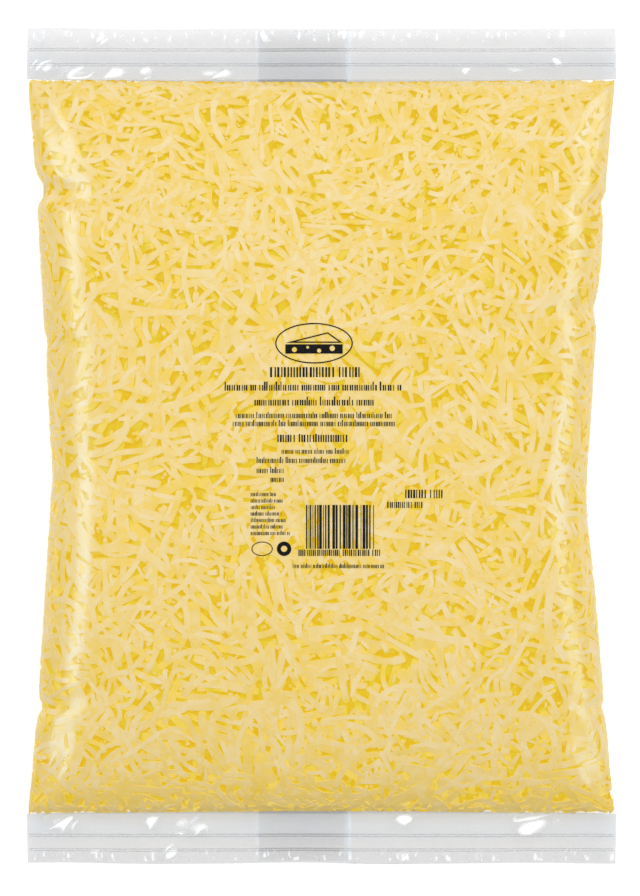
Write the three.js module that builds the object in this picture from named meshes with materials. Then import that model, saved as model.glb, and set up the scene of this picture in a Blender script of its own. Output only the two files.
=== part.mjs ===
// A one-kilogram pillow bag of grated cheese, lying on its back with the printed face up.
// The clear film is one tube, closed along its back by a wide folded seam and across each end by
// a flat band with a heat seal. The cheese fills it right up to both bands and rounds it out.
// Millimetres. X runs across the bag, Y along it towards its top end, and Z is up from the table.
import * as THREE from 'three';

// Driving sizes
const BAG_WIDTH = 285; // across the flat end bands
const BAG_LENGTH = 405; // from cut edge to cut edge
const TOP_BAND = 25; // clear film beyond the cheese
const BOTTOM_BAND = 24.5;
const BAND_THICKNESS = 0.8; // two layers of film and the air between them
const CROWN_HEIGHT = 46; // table to the highest part of the upper film
const EQUATOR_HEIGHT = 21; // table to the widest line of the filled sides
const BAND_HEIGHT = 12; // table to the middle of the end bands

// The folded seam down the back, which lies off the middle
const SEAM_LEFT = -30.7;
const SEAM_RIGHT = 12.3;
const SEAM_THICKNESS = 0.5;
const SEAM_STEP = 0.3; // how far out from its edges the film comes down to the table

// The waist: filling draws the sides in, most of all a little below the middle
const WAIST_Y = -15;
const WAIST_INSET_LEFT = 12.9;
const WAIST_INSET_RIGHT = 14.6;
const INSET_POWER = 0.8;
const WAIST_ROUNDING = 0.06; // share of each half that is rounded off at the waist itself

// Where the cheese ends, and how far it bows in from the bands halfway across
const FILL_TOP = BAG_LENGTH / 2 - TOP_BAND;
const FILL_BOTTOM = -BAG_LENGTH / 2 + BOTTOM_BAND;
const FILL_BOW = 1.6;
const FILL_BOW_REACH = 13;

// How squarely the filling swells from its ends: a higher end power keeps its depth nearer to them
const UPPER_SWELL = { endPower: 3.2, sidePower: 1.7 };
const UNDER_SWELL = { endPower: 4.5, sidePower: 1.5 };
const EQUATOR_SWELL = { endPower: 2.4, sidePower: 1.2 };
const SIDE_SWELL = { endPower: 3.4, sidePower: 1.6 };
const SIDE_ROLL = { least: 4, gain: 25 }; // how far in from a side the film rolls over, empty and full
const CROWN_SHARE = 0.13; // of the upper film's rise, gained from its shoulders to its middle
const LUMP_ROOM = 1.2; // height kept under the crown for the lumps

// Heat-seal ribs, as distances from each cut edge
const RIBS_TOP = [10.6, 17.9];
const RIBS_BOTTOM = [6.8, 13.9];
const RIB_HALF_WIDTH = 0.9;
const RIB_HEIGHT = 0.45;

// Notches where the film buckles at a side: place along the bag, depth and half length
const NIPS_LEFT = [
  { y: 123.5, depth: 4.9, reach: 5.4 },
  { y: 49.5, depth: 1.7, reach: 3.6 },
  { y: -12, depth: 0.8, reach: 10 },
  { y: -125.3, depth: 3.4, reach: 3 },
];
const NIPS_RIGHT = [
  { y: 116.5, depth: 2.2, reach: 3.4 },
  { y: 66, depth: 2.4, reach: 5 },
  { y: -34, depth: 1.5, reach: 24 },
  { y: -126, depth: 1.7, reach: 2.6 },
];
const CREASE = {
  depth: 1.3, // for each millimetre that the notch is deep
  length: 26, // over which it fades
  start: 5, // from the side to its full depth
  slant: 0.28, // millimetres towards the middle of the bag for each one inwards
  underShare: 0.5, // of its depth on the under film
};

// Folds that run from the corners of the bands down on to the shoulders of the filling
const CORNER_FOLD = {
  length: 66,
  width: 6.5,
  depth: 2.6,
  turn: 0.47, // radians in from the side
  swellPower: 0.7, // below 1 the fold is deepest near its corner
  ridgeOffset: 11, // from the valley to the ridge along its inner side
  ridgeShare: 0.7,
};

// Waves in the film: height, and the lengths across and along over which each turns by a radian
const LUMPS = [
  { height: 0.45, across: 27, along: 31, shift: 0.6 },
  { height: 0.45, across: 27, along: -31, shift: 2.2 },
  { height: 0.3, across: 12, along: 21, shift: 1.1 },
  { height: 0.25, across: -19, along: 14, shift: 0.4 },
];
const PUCKERS = [
  { height: 0.75, across: 5.6, along: 90, shift: 0.3 },
  { height: 0.45, across: 11.7, along: -70, shift: 1.9 },
];
const PUCKER_MIDDLE = 9; // from the band to where the puckers are deepest
const PUCKER_REACH = 10;
const BAND_WAVES = [
  { height: 1.1, across: 21, along: 190, shift: 0 },
  { height: 0.5, across: 9.3, along: 140, shift: 0.9 },
];
const BAND_DROOP = 2.2; // of the cut edges
const CUT_WAVE = { depth: 0.45, across: 33 };

// The grid of the film: columns across it, and rows along it
const ARC_COLUMNS = 5; // up each rounded side
const FLAT_COLUMNS = 20;
const COLUMNS = FLAT_COLUMNS + 2 * ARC_COLUMNS;
const COLUMNS_BESIDE_SEAM = 7;
const FILLED_ROWS = 46;
const ROW_EASING = 0.75; // 0 spaces the rows evenly, 1 crowds them at the ends
const NIP_ROWS = [-1.3, -0.55, 0, 0.55, 1.3]; // in half lengths of the nip
const LEAST_ROW_GAP = 1.6;

const HALF_WIDTH = BAG_WIDTH / 2;
const HALF_LENGTH = BAG_LENGTH / 2;
const HALF_BAND = BAND_THICKNESS / 2;
const TOP_RIB_PLACES = RIBS_TOP.map((inwards) => HALF_LENGTH - inwards);
const BOTTOM_RIB_PLACES = RIBS_BOTTOM.map((inwards) => inwards - HALF_LENGTH);
const RIB_PLACES = [...TOP_RIB_PLACES, ...BOTTOM_RIB_PLACES];

const clamp = (value, low, high) => Math.min(Math.max(value, low), high);
const mix = (a, b, t) => a + (b - a) * t;
const bell = (offset, width) => Math.exp(-((offset / width) ** 2));
const sum = (list, value) => list.reduce((total, item) => total + value(item), 0);

// Height of a set of waves at a place
const wavesAt = (waves, x, y) =>
  sum(waves, (wave) => wave.height * Math.sin(x / wave.across + y / wave.along + wave.shift));

// Place along the filling: -1 at its bottom end, 0 at the waist, 1 at its top end
function alongFill(y) {
  const end = y > WAIST_Y ? FILL_TOP : FILL_BOTTOM;
  return Math.sign(y - WAIST_Y) * Math.abs((y - WAIST_Y) / (end - WAIST_Y));
}

// Share of a full depth that the filling has at y, which is nothing beyond its ends
function fullness(y, { endPower, sidePower }) {
  const t = Math.abs(clamp(alongFill(y), -1, 1));
  return (1 - t ** endPower) ** (1 / sidePower);
}

// Distance from y to the nearer end of the filling, negative on the bands
const fromFillEnd = (y) => Math.min(FILL_TOP - y, y - FILL_BOTTOM);

// How far a side is drawn in from the width of the bands, nips included
function sideInset(y, waistInset, nips) {
  const away = Math.min(Math.hypot(alongFill(y), WAIST_ROUNDING), 1);
  const drawn = waistInset * (1 - away) ** INSET_POWER;
  return drawn + sum(nips, (nip) => nip.depth * bell(y - nip.y, nip.reach));
}

const leftEdge = (y) => -HALF_WIDTH + sideInset(y, WAIST_INSET_LEFT, NIPS_LEFT);
const rightEdge = (y) => HALF_WIDTH - sideInset(y, WAIST_INSET_RIGHT, NIPS_RIGHT);

// Middle height of the film tube: the equator of the sides, and the drooping, waving end bands
function middleHeight(x, y) {
  const filled = mix(BAND_HEIGHT, EQUATOR_HEIGHT, fullness(y, EQUATOR_SWELL));
  const beyond = Math.max(-fromFillEnd(y), 0) / TOP_BAND;
  return filled - BAND_DROOP * beyond ** 2 + beyond * wavesAt(BAND_WAVES, x, y);
}

// The creases that the nips of one side press into the film, at a distance inwards from it
function creasesOf(nips, inwards, y) {
  const fade = Math.exp(-inwards / CREASE.length) * Math.min(inwards / CREASE.start, 1);
  return sum(nips, (nip) => {
    const line = nip.y - Math.sign(nip.y) * CREASE.slant * inwards;
    return nip.depth * CREASE.depth * fade * bell(y - line, nip.reach);
  });
}

function nipCreases(x, y) {
  return creasesOf(NIPS_LEFT, x - leftEdge(y), y) + creasesOf(NIPS_RIGHT, rightEdge(y) - x, y);
}

// The fold from each corner of the bands, a valley with a ridge along its inner side
function cornerFolds(x, y) {
  const { length, width, depth, turn, swellPower, ridgeOffset, ridgeShare } = CORNER_FOLD;
  const fromEnd = fromFillEnd(y);
  const fromSide = HALF_WIDTH - Math.abs(x);
  const forwards = Math.cos(turn) * fromEnd + Math.sin(turn) * fromSide;
  const sideways = Math.cos(turn) * fromSide - Math.sin(turn) * fromEnd;
  const swell = Math.sin(Math.PI * clamp(forwards / length, 0, 1) ** swellPower);
  return depth * swell * (bell(sideways, width) - ridgeShare * bell(sideways - ridgeOffset, width));
}

// Puckers that fan out from the bands, fading over the shoulders
function puckers(x, y) {
  return wavesAt(PUCKERS, x, y) * bell(Math.max(fromFillEnd(y), 0) - PUCKER_MIDDLE, PUCKER_REACH);
}

// Height of a heat-seal rib above the face of the band
function ribAt(y) {
  const heights = RIB_PLACES.map((rib) => RIB_HEIGHT * clamp(1 - Math.abs(y - rib) / RIB_HALF_WIDTH, 0, 1));
  return Math.max(...heights);
}

// Rows of the grid along the bag: at the ribs and the nips, and closer near the ends of the filling
function rowPlaces() {
  const kept = [-HALF_LENGTH, FILL_BOTTOM, FILL_TOP, HALF_LENGTH];
  kept.push(...RIB_PLACES.flatMap((rib) => [rib - RIB_HALF_WIDTH, rib, rib + RIB_HALF_WIDTH]));
  kept.push((TOP_RIB_PLACES[0] + HALF_LENGTH) / 2);
  kept.push((TOP_RIB_PLACES[1] + FILL_TOP) / 2, (BOTTOM_RIB_PLACES[1] + FILL_BOTTOM) / 2);
  const filledRows = Array.from({ length: FILLED_ROWS - 1 }, (_, i) => {
    const t = (2 * (i + 1)) / FILLED_ROWS - 1;
    return mix(FILL_BOTTOM, FILL_TOP, (mix(t, Math.sin((t * Math.PI) / 2), ROW_EASING) + 1) / 2);
  });
  const nips = [...NIPS_LEFT, ...NIPS_RIGHT];
  const nipRows = nips.flatMap((nip) => NIP_ROWS.map((step) => nip.y + step * nip.reach));
  for (const y of [...nipRows, ...filledRows])
    if (kept.every((other) => Math.abs(other - y) > LEAST_ROW_GAP)) kept.push(y);
  return kept.sort((a, b) => a - b);
}

// Place of a flat column on the underside, where columns meet both edges of the folded seam
function underPlace(flatColumn, from, to) {
  const stops = [from, SEAM_LEFT - SEAM_STEP, SEAM_LEFT, SEAM_RIGHT, SEAM_RIGHT + SEAM_STEP, to];
  const onSeam = FLAT_COLUMNS - 2 * COLUMNS_BESIDE_SEAM - 2;
  let left = flatColumn;
  for (const [i, count] of [COLUMNS_BESIDE_SEAM, 1, onSeam, 1, COLUMNS_BESIDE_SEAM].entries()) {
    if (left <= count) return mix(stops[i], stops[i + 1], left / count);
    left -= count;
  }
  return to;
}

// Place of a column across the bag, and how far up its rounded side the film has come there (0 to 1)
function across(column, y, isUnder) {
  const roll = SIDE_ROLL.least + SIDE_ROLL.gain * fullness(y, SIDE_SWELL);
  const from = leftEdge(y) + roll;
  const to = rightEdge(y) - roll;
  const inArc = Math.min(column, COLUMNS - column);
  if (inArc <= ARC_COLUMNS) {
    const angle = (inArc / ARC_COLUMNS) * (Math.PI / 2);
    const outwards = roll * Math.cos(angle);
    return { x: column === inArc ? from - outwards : to + outwards, rise: Math.sin(angle) };
  }
  const flatColumn = column - ARC_COLUMNS;
  if (isUnder) return { x: underPlace(flatColumn, from, to), rise: 1 };
  return { x: mix(from, to, flatColumn / FLAT_COLUMNS), rise: 1 };
}

// A point of the upper film
function upperPoint(column, y) {
  const { x, rise } = across(column, y, false);
  const depth = fullness(y, UPPER_SWELL);
  const fromMiddle = (2 * x - leftEdge(y) - rightEdge(y)) / (rightEdge(y) - leftEdge(y));
  const crown = 1 - CROWN_SHARE * fromMiddle ** 2;
  const swell = (CROWN_HEIGHT - EQUATOR_HEIGHT - LUMP_ROOM) * depth * crown;
  const waves = depth * (wavesAt(LUMPS, x, y) + puckers(x, y));
  const folds = Math.min(depth * 2, 1) * (nipCreases(x, y) + cornerFolds(x, y));
  const lift = Math.max(rise * (swell + waves - folds), 0);
  return new THREE.Vector3(x, y, middleHeight(x, y) + HALF_BAND + ribAt(y) + lift);
}

// A point of the under film, which is flat where the bag rests
function underPoint(column, y) {
  const { x, rise } = across(column, y, true);
  const seam = x >= SEAM_LEFT && x <= SEAM_RIGHT ? SEAM_THICKNESS : 0;
  const depth = fullness(y, UNDER_SWELL);
  const drop = Math.max(rise * depth * (EQUATOR_HEIGHT - CREASE.underShare * nipCreases(x, y)), 0);
  const film = middleHeight(x, y) - HALF_BAND - ribAt(y) - drop;
  return new THREE.Vector3(x, y, Math.max(film, SEAM_THICKNESS) - seam);
}

// Bows the ends of the filling in from the bands, and makes the cut edges a little uneven
function bowed(point) {
  const end = point.y > WAIST_Y ? 1 : -1;
  const bow = FILL_BOW * (1 - (point.x / HALF_WIDTH) ** 2) * bell(fromFillEnd(point.y), FILL_BOW_REACH);
  const cut = CUT_WAVE.depth * Math.sin(point.x / CUT_WAVE.across + end) ** 2;
  const outermost = Math.abs(point.y);
  if (outermost < HALF_LENGTH - RIBS_TOP[0] / 2) point.y -= end * bow;
  if (outermost === HALF_LENGTH) point.y -= end * cut;
  return point;
}

// The bag starts as a box whose faces carry the grid, and each of its vertices is laid on the film
function bagGeometry() {
  const rows = rowPlaces();
  const geometry = new THREE.BoxGeometry(COLUMNS, rows.length - 1, 1, COLUMNS, rows.length - 1, 1);
  const position = geometry.getAttribute('position');
  for (let i = 0; i < position.count; i += 1) {
    const column = Math.round(position.getX(i) + COLUMNS / 2);
    const row = rows[Math.round(position.getY(i) + (rows.length - 1) / 2)];
    const point = bowed(position.getZ(i) > 0 ? upperPoint(column, row) : underPoint(column, row));
    position.setXYZ(i, point.x, point.y, point.z);
  }
  geometry.computeVertexNormals();
  return geometry;
}

const packedCheese = new THREE.MeshStandardMaterial({ color: 0xf3d98c, roughness: 0.35, metalness: 0 });
const bag = new THREE.Mesh(bagGeometry(), packedCheese);
bag.name = 'bag_of_grated_cheese';

const part = new THREE.Group();
part.add(bag);

export default part;
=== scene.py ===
# %% [markdown]
# # A one-kilogram bag of grated cheese
# The real thing is a pillow bag: a tube of clear film, sealed flat across both ends and along its
# back, and packed tight with grated cheese that is pressed flat against the film. This lesson makes
# it from the inside out: a core, thousands of shreds laid one by one over it, the film that they
# hold out, the flat end bands, and the printing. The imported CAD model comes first, because it fixes
# every size, and nothing here moves it.

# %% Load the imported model
import math

import bpy
import numpy as np
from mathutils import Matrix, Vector
from mathutils.bvhtree import BVHTree


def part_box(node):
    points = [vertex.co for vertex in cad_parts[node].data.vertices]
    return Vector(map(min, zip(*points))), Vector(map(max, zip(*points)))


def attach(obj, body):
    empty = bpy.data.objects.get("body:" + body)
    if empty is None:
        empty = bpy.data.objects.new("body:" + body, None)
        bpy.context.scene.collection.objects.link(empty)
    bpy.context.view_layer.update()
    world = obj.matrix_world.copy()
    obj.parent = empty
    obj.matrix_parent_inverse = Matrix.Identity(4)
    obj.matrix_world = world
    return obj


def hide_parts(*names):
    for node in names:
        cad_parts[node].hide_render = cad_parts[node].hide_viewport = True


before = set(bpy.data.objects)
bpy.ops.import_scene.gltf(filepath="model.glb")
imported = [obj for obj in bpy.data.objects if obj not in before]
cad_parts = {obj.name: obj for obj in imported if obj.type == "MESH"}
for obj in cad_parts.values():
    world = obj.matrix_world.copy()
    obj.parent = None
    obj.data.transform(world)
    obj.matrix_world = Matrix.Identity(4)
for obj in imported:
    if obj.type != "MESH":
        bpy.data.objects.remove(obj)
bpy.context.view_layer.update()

BAG = "bag_of_grated_cheese"
MM = 0.001  # the frame is in metres, and the sizes below are in millimetres
low, high = (np.array(corner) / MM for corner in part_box(BAG))
print("bag, mm:", low.round(1), high.round(1))

# %% [markdown]
# ## Sizes
# The bands are the flat clear ends beyond the cheese. Their sizes, the places of the heat-seal ribs
# and the folded seam on the back are those of the CAD model. All else is measured from the model.

# %% The driving sizes, in millimetres
TOP_BAND, BOTTOM_BAND = 25.0, 24.5
FILL_TOP, FILL_BOTTOM = high[1] - TOP_BAND, low[1] + BOTTOM_BAND
FILL_BOW = 1.6  # how far the ends of the filling bow in from the bands, halfway across
RIBS = [high[1] - 10.6, high[1] - 17.9, low[1] + 6.8, low[1] + 13.9]
SEAM_LEFT, SEAM_RIGHT = -30.7, 12.3
BAND_HEIGHT = 12.0
rng = np.random.default_rng(seed=1884)
print("the filling runs from", FILL_BOTTOM.round(1), "to", FILL_TOP.round(1))

# %% [markdown]
# ## Camera
# The picture is taken from straight above. A long lens a little over a metre up gives the real
# perspective, in which the crown of the bag is drawn 3% larger than its bands. The camera's height
# follows from the size of a pixel on the bands.

# %% Put the camera straight above the bag
IMAGE_HEIGHT = 896  # pixels of the picture along the bag
PIXEL_ON_BANDS = 0.484  # millimetres
LENS, SENSOR = 100.0, 36.0
CAMERA_PLACE = (-0.73, -0.97)  # over the bag, which isn't quite in the middle of the picture
camera_height = BAND_HEIGHT + PIXEL_ON_BANDS * IMAGE_HEIGHT * LENS / SENSOR
bpy.ops.object.camera_add(location=[part * MM for part in (*CAMERA_PLACE, camera_height)])
camera = bpy.context.object
camera.name = "camera_above"
camera.data.lens, camera.data.sensor_width = LENS, SENSOR
camera.data.clip_start, camera.data.clip_end = 0.05, 20
bpy.context.scene.camera = camera
print("camera height, mm:", round(camera_height))

# %% [markdown]
# ## Light
# A packed bag looks pale and even under one large soft light, which stands a little beyond its top
# end. Film would mirror that light as a white veil over the crown. A photographer takes the veil away
# with polarising filters, and here the light is left out of all that is mirrored. The long soft
# streaks down the rounded sides are the other way round: two strips of light that are seen in the
# film alone. They are bluish, because blue is what yellow cheese lacks, so the streaks come out white.
# The floor glows a little, as a white shooting table does, so that the bag's shadow stays faint.


# %% A helper that places an area light and turns it towards the bag
def area_light(name, place, size, power, target=(0, 0, 0.02)):
    towards = Vector(target) - Vector(place)
    bpy.ops.object.light_add(type="AREA", location=place)
    light = bpy.context.object
    light.name = name
    light.rotation_euler = towards.to_track_quat("-Z", "Y").to_euler()
    light.data.shape = "RECTANGLE"
    light.data.size, light.data.size_y = size
    light.data.energy = power
    return light


def overhead(across_angle, along_angle, distance):
    """A place over the bag, by its angles from the vertical towards +X and towards +Y."""
    direction = Vector((math.tan(math.radians(across_angle)), math.tan(math.radians(along_angle)), 1))
    return direction.normalized() * distance


# %% The soft light beyond the top end, the side strips and the room
KEY_PLACE = (3, 16, 3.0)  # degrees across and along, metres
KEY_SIZE, KEY_POWER = (3.2, 1.6), 70.5  # metres, watts
STRIPS = {"left_strip": (-43, 0.38, 17.5), "right_strip": (54, 0.45, 12)}  # degrees, metres wide, watts
STRIP_LENGTH, STRIP_DISTANCE, STRIP_ALONG = 1.8, 1.2, 4
STRIP_COLOUR = (0.34, 0.68, 1.0)
ROOM_STRENGTH = 0.37

key_light = area_light("key_light", overhead(*KEY_PLACE), KEY_SIZE, KEY_POWER)
key_light.visible_glossy = False
for name, (angle, width, power) in STRIPS.items():
    place = overhead(angle, STRIP_ALONG, STRIP_DISTANCE)
    strip_light = area_light(name, place, (STRIP_LENGTH, width), power)
    strip_light.data.color = STRIP_COLOUR
    strip_light.visible_diffuse = False
bpy.context.scene.view_settings.view_transform = "Standard"
world = bpy.data.worlds.new("studio")
bpy.context.scene.world = world
world.use_nodes = True
room_light = world.node_tree.nodes["Background"]
room_light.inputs["Color"].default_value = (1, 1, 1, 1)
room_light.inputs["Strength"].default_value = ROOM_STRENGTH

# %% [markdown]
# ## Shader maths
# A finish is a graph of nodes. Written as sums in Python it reads like a formula, so one small class
# wraps a socket and adds a Math node for each sum, and another holds the material and adds every
# other node.


# %% A socket that can be used in sums
class Signal:
    def __init__(self, finish, socket):
        self.finish, self.socket = finish, socket

    def math(self, operation, *others, clamp=False):
        inputs = dict(enumerate((self, *others)))
        return self.finish.add("Math", {"operation": operation, "use_clamp": clamp}, inputs)

    def __add__(self, other):
        return self.math("ADD", other)

    def __mul__(self, other):
        return self.math("MULTIPLY", other)

    def __rsub__(self, other):
        return self.finish.add("Math", {"operation": "SUBTRACT"}, {0: other, 1: self})

    def __pow__(self, other):
        return self.math("POWER", other)

    __radd__, __rmul__ = __add__, __mul__

    def step(self, start, end):
        """0 below start, 1 above end, and smooth between them."""
        settings = {"interpolation_type": "SMOOTHSTEP"}
        return self.finish.add("MapRange", settings, {"Value": self, "From Min": start, "From Max": end})


# %% A finish, which adds any node by its type, its settings and the values of its sockets
class Finish:
    def __init__(self, name):
        self.material = bpy.data.materials.new(name)
        self.material.use_nodes = True
        self.nodes = self.material.node_tree.nodes
        self.nodes.clear()

    def add(self, kind, settings=None, inputs=None, output=0):
        node = self.nodes.new("ShaderNode" + kind)
        for name, value in (settings or {}).items():
            setattr(node, name, value)
        for name, value in (inputs or {}).items():
            if isinstance(value, Signal):
                self.material.node_tree.links.new(value.socket, node.inputs[name])
            else:
                node.inputs[name].default_value = value
        return Signal(self, node.outputs[output]) if node.outputs else node

    def place(self):
        """Place on the object, in metres."""
        return self.add("TexCoord", output="Object")

    def stretched(self, scale):
        """Place, with a scale for each axis."""
        return self.add("Mapping", {"vector_type": "POINT"}, {"Vector": self.place(), "Scale": scale})

    def noise(self, vector, scale, detail=2, roughness=0.5):
        inputs = {"Vector": vector, "Scale": scale, "Detail": detail, "Roughness": roughness}
        return self.add("TexNoise", {}, inputs)

    def value_of(self, attribute):
        return self.add("Attribute", {"attribute_name": attribute}, output="Fac")

    def mixed(self, factor, first, second):
        """A colour between two colours."""
        return self.add("Mix", {"data_type": "RGBA"}, {0: factor, 6: first, 7: second}, output=2)

    def bump(self, height, strength, distance):
        return self.add("Bump", {}, {"Height": height, "Strength": strength, "Distance": distance})

    def blend(self, factor, first, second):
        """A surface between two surfaces."""
        return self.add("MixShader", {}, {0: factor, 1: first, 2: second})

    def finished(self, surface):
        self.add("OutputMaterial", {}, {"Surface": surface})
        self.material.cycles.emission_sampling = "NONE"  # a faint glow over many faces is no lamp
        return self.material


# %% [markdown]
# ## Floor
# A plain white table, which runs on past the picture. Its glow lifts the shadow.

# %% Lay the floor
FLOOR_SIZE, FLOOR_GAP = 6, 0.2 * MM  # metres
FLOOR_GLOW = 0.52

bpy.ops.mesh.primitive_plane_add(size=FLOOR_SIZE, location=(0, 0, -FLOOR_GAP))
floor = bpy.context.object
floor.name = "floor"
paper = Finish("white_table")
paper_grain = paper.noise(paper.place(), scale=900, detail=3)
paper_surface = paper.add(
    "BsdfPrincipled",
    inputs={
        "Base Color": (0.66, 0.66, 0.68, 1),
        "Roughness": 0.9,
        "Emission Color": (1, 1, 1, 1),
        "Emission Strength": FLOOR_GLOW,
        "Normal": paper.bump(paper_grain, strength=0.1, distance=0.0002),
    },
)
floor.data.materials.append(paper.finished(paper_surface))
print("floor:", FLOOR_SIZE, "m wide")

# %% [markdown]
# ## Unrolling the film
# Shreds are laid on a curved bag more easily when the film is unrolled into a flat chart: its rows
# run along the bag, and its columns go once round it, from the right side over the top to the left
# side and back underneath. Each cell of the chart knows its place on the film, the way out of the
# bag, and how far one step across or along really is. The chart is read from a smoothed copy of the
# CAD model with rays, as a surveyor would.

# %% A smooth copy of the CAD model
def deselect_all():
    bpy.ops.object.select_all(action="DESELECT")


def select_only(piece):
    deselect_all()
    piece.select_set(True)
    bpy.context.view_layer.objects.active = piece


def apply_modifiers(piece):
    select_only(piece)
    for modifier in list(piece.modifiers):
        bpy.ops.object.modifier_apply(modifier=modifier.name)


NEARLY_FLAT = math.radians(60)


def copy_of_bag(name):
    """The CAD bag as one joined mesh of four-sided faces."""
    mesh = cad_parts[BAG].data.copy()
    mesh.materials.clear()
    piece = bpy.data.objects.new(name, mesh)
    bpy.context.scene.collection.objects.link(piece)
    select_only(piece)
    bpy.ops.object.mode_set(mode="EDIT")
    bpy.ops.mesh.select_all(action="SELECT")
    bpy.ops.mesh.remove_doubles(threshold=0.001 * MM)
    bpy.ops.mesh.tris_convert_to_quads(face_threshold=NEARLY_FLAT, shape_threshold=NEARLY_FLAT)
    bpy.ops.object.mode_set(mode="OBJECT")
    return piece


def smoothed(piece, levels):
    modifier = piece.modifiers.new("smooth", "SUBSURF")
    modifier.levels = modifier.render_levels = levels
    apply_modifiers(piece)
    return piece


def points_of(piece):
    """Places of a mesh's points, in millimetres."""
    places = np.zeros(len(piece.data.vertices) * 3)
    piece.data.vertices.foreach_get("co", places)
    return places.reshape(-1, 3) / MM


def surface_of(piece):
    """A piece's surface, for rays."""
    faces = [tuple(face.vertices) for face in piece.data.polygons]
    return BVHTree.FromPolygons([tuple(p) for p in points_of(piece)], faces)


smooth_bag = smoothed(copy_of_bag("smooth_bag"), 2)
film_surface = surface_of(smooth_bag)
print("smooth copy, points:", len(smooth_bag.data.vertices))
bpy.data.objects.remove(smooth_bag)

# %% Survey the film, row by row
ROWS = 380
COLUMNS = 576
RAYS = 220  # over each of the upper and the under film
END_CROWDING = 0.6  # rows stand closer at the ends, where the film rises steeply
END_MARGIN = 0.25
ABOVE, BELOW, BESIDE = 80, -20, 200  # places from which rays are sent at the bag
SIDE_HEIGHTS = np.concatenate([np.arange(8, 15, 0.4), np.arange(15, 27, 1.5)])  # where it is widest
SIDE_GAP = 0.01  # by which a section stays inside its widest places

across_picture = np.linspace(-1, 1, ROWS)
crowded = (1 - END_CROWDING) * across_picture + END_CROWDING * np.sin(across_picture * np.pi / 2)
fill_middle = (FILL_TOP + FILL_BOTTOM) / 2
row_place = fill_middle + crowded * ((FILL_TOP - FILL_BOTTOM) / 2 - END_MARGIN)


def side_of_section(y, outwards):
    """How far out the film comes in the section at y, on the side that outwards points to."""
    hits = [
        film_surface.ray_cast((outwards * BESIDE, y, z), (-outwards, 0, 0))[0] for z in SIDE_HEIGHTS
    ]
    return max((outwards * hit.x for hit in hits if hit), default=0) * outwards


def section(y):
    """The film at y: from the right side over the top to the left, then back underneath."""
    right, left = side_of_section(y, 1) - SIDE_GAP, side_of_section(y, -1) + SIDE_GAP
    turn = np.linspace(0, np.pi, RAYS)
    x = (right + left) / 2 + (right - left) / 2 * np.cos(turn)
    upper = [film_surface.ray_cast((a, y, ABOVE), (0, 0, -1))[0] for a in x]
    under = [film_surface.ray_cast((a, y, BELOW), (0, 0, 1))[0] for a in x]
    return [np.array([hit for hit in hits if hit]) for hits in (upper, under[::-1])]


def spread_evenly(line, count):
    """count places along a line, starting at its first point and stopping short of its last."""
    steps = np.linalg.norm(np.diff(line, axis=0), axis=1)
    distance = np.concatenate([[0], np.cumsum(steps)])
    wanted = np.linspace(0, distance[-1], count + 1)[:-1]
    return np.stack([np.interp(wanted, distance, line[:, axis]) for axis in range(3)], axis=1)


def unrolled_row(y):
    upper, under = section(y)
    over = np.concatenate([upper, under[:1]])
    back = np.concatenate([under, upper[:1]])
    return np.concatenate([spread_evenly(over, COLUMNS // 2), spread_evenly(back, COLUMNS // 2)])


film_place = np.array([unrolled_row(y) for y in row_place])
round_the_middle = np.linalg.norm(np.diff(film_place[ROWS // 2], axis=0), axis=1).sum()
print("chart:", film_place.shape, "round the middle, mm:", round(round_the_middle))


# %% The way out of the bag, the length of a step, and the room inside
def step_across(chart):
    return (np.roll(chart, -1, axis=1) - np.roll(chart, 1, axis=1)) / 2


step_vector_across = step_across(film_place)
step_vector_along = np.gradient(film_place, axis=0)
film_normal = np.cross(step_vector_along, step_vector_across)
film_normal /= np.linalg.norm(film_normal, axis=2, keepdims=True)
across_step = np.linalg.norm(step_vector_across, axis=2)
along_step = np.linalg.norm(step_vector_along, axis=2)


RAY_START = 0.05  # inside the film
LEAST_FOUND = 0.5  # stands for the room where a ray slips out at the edge


def room_inside(place, normal):
    """Distance from the film to the film on the other side."""
    hit = film_surface.ray_cast(tuple(place - RAY_START * normal), tuple(-normal))
    return hit[3] if hit[0] else LEAST_FOUND


ROOM_EVERY = 3  # columns, as the room changes slowly round the bag
some_columns = np.arange(0, COLUMNS, ROOM_EVERY)
all_columns = np.arange(COLUMNS)
room = []
for i in range(ROWS):
    some_room = [room_inside(film_place[i, j], film_normal[i, j]) for j in some_columns]
    room.append(np.interp(all_columns, some_columns, some_room, period=COLUMNS))
room = np.array(room)
print("room inside, mm:", room.min().round(2), "to", room.max().round(1))

# %% [markdown]
# ## Laying the shreds
# Industrial graters cut ribbons 2 to 7 mm wide and up to 6 cm long, which curl a little, break into
# bits and shed crumbs. They could be dropped by a simulation, but thousands of soft ribbons take
# hours. Here they are laid by a rule instead, each over those already there: a height map of the heap,
# kept on the chart, says what a new shred rests on. The shred bridges narrow gaps, as a ribbon does,
# and where it comes up to the film it is pressed flat against it. Neighbours lie roughly the same
# way, as they slid into the bag together. At a seal some turn and run along it and the others end,
# and a shred that would be left too short is not laid. The heap is built out from a core, so that
# only shreds that can be seen are made.

# %% The heap starts at the core
CORE_DEPTH = 3.4  # of the core's surface under the film
CORE_SHARE = 0.36  # of the room inside, where the bag is thin
FINE = 55  # places along a shred where it is laid
LATERAL = np.linspace(-0.46, 0.46, 5)  # lines along a shred, in widths from its middle
CEILING = -0.12  # level of a pressed shred's face under the CAD film
CEILING_RISE = 0.3  # from the first shreds to the last, so that each lies over the earlier ones
MOST_SQUEEZE, MEAN_SQUEEZE = 2.0, 1.0  # how much a shred may be pressed down by the film
LEAST_ROOM = 1.1  # where the bag is thinner than this, it holds no cheese

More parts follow.
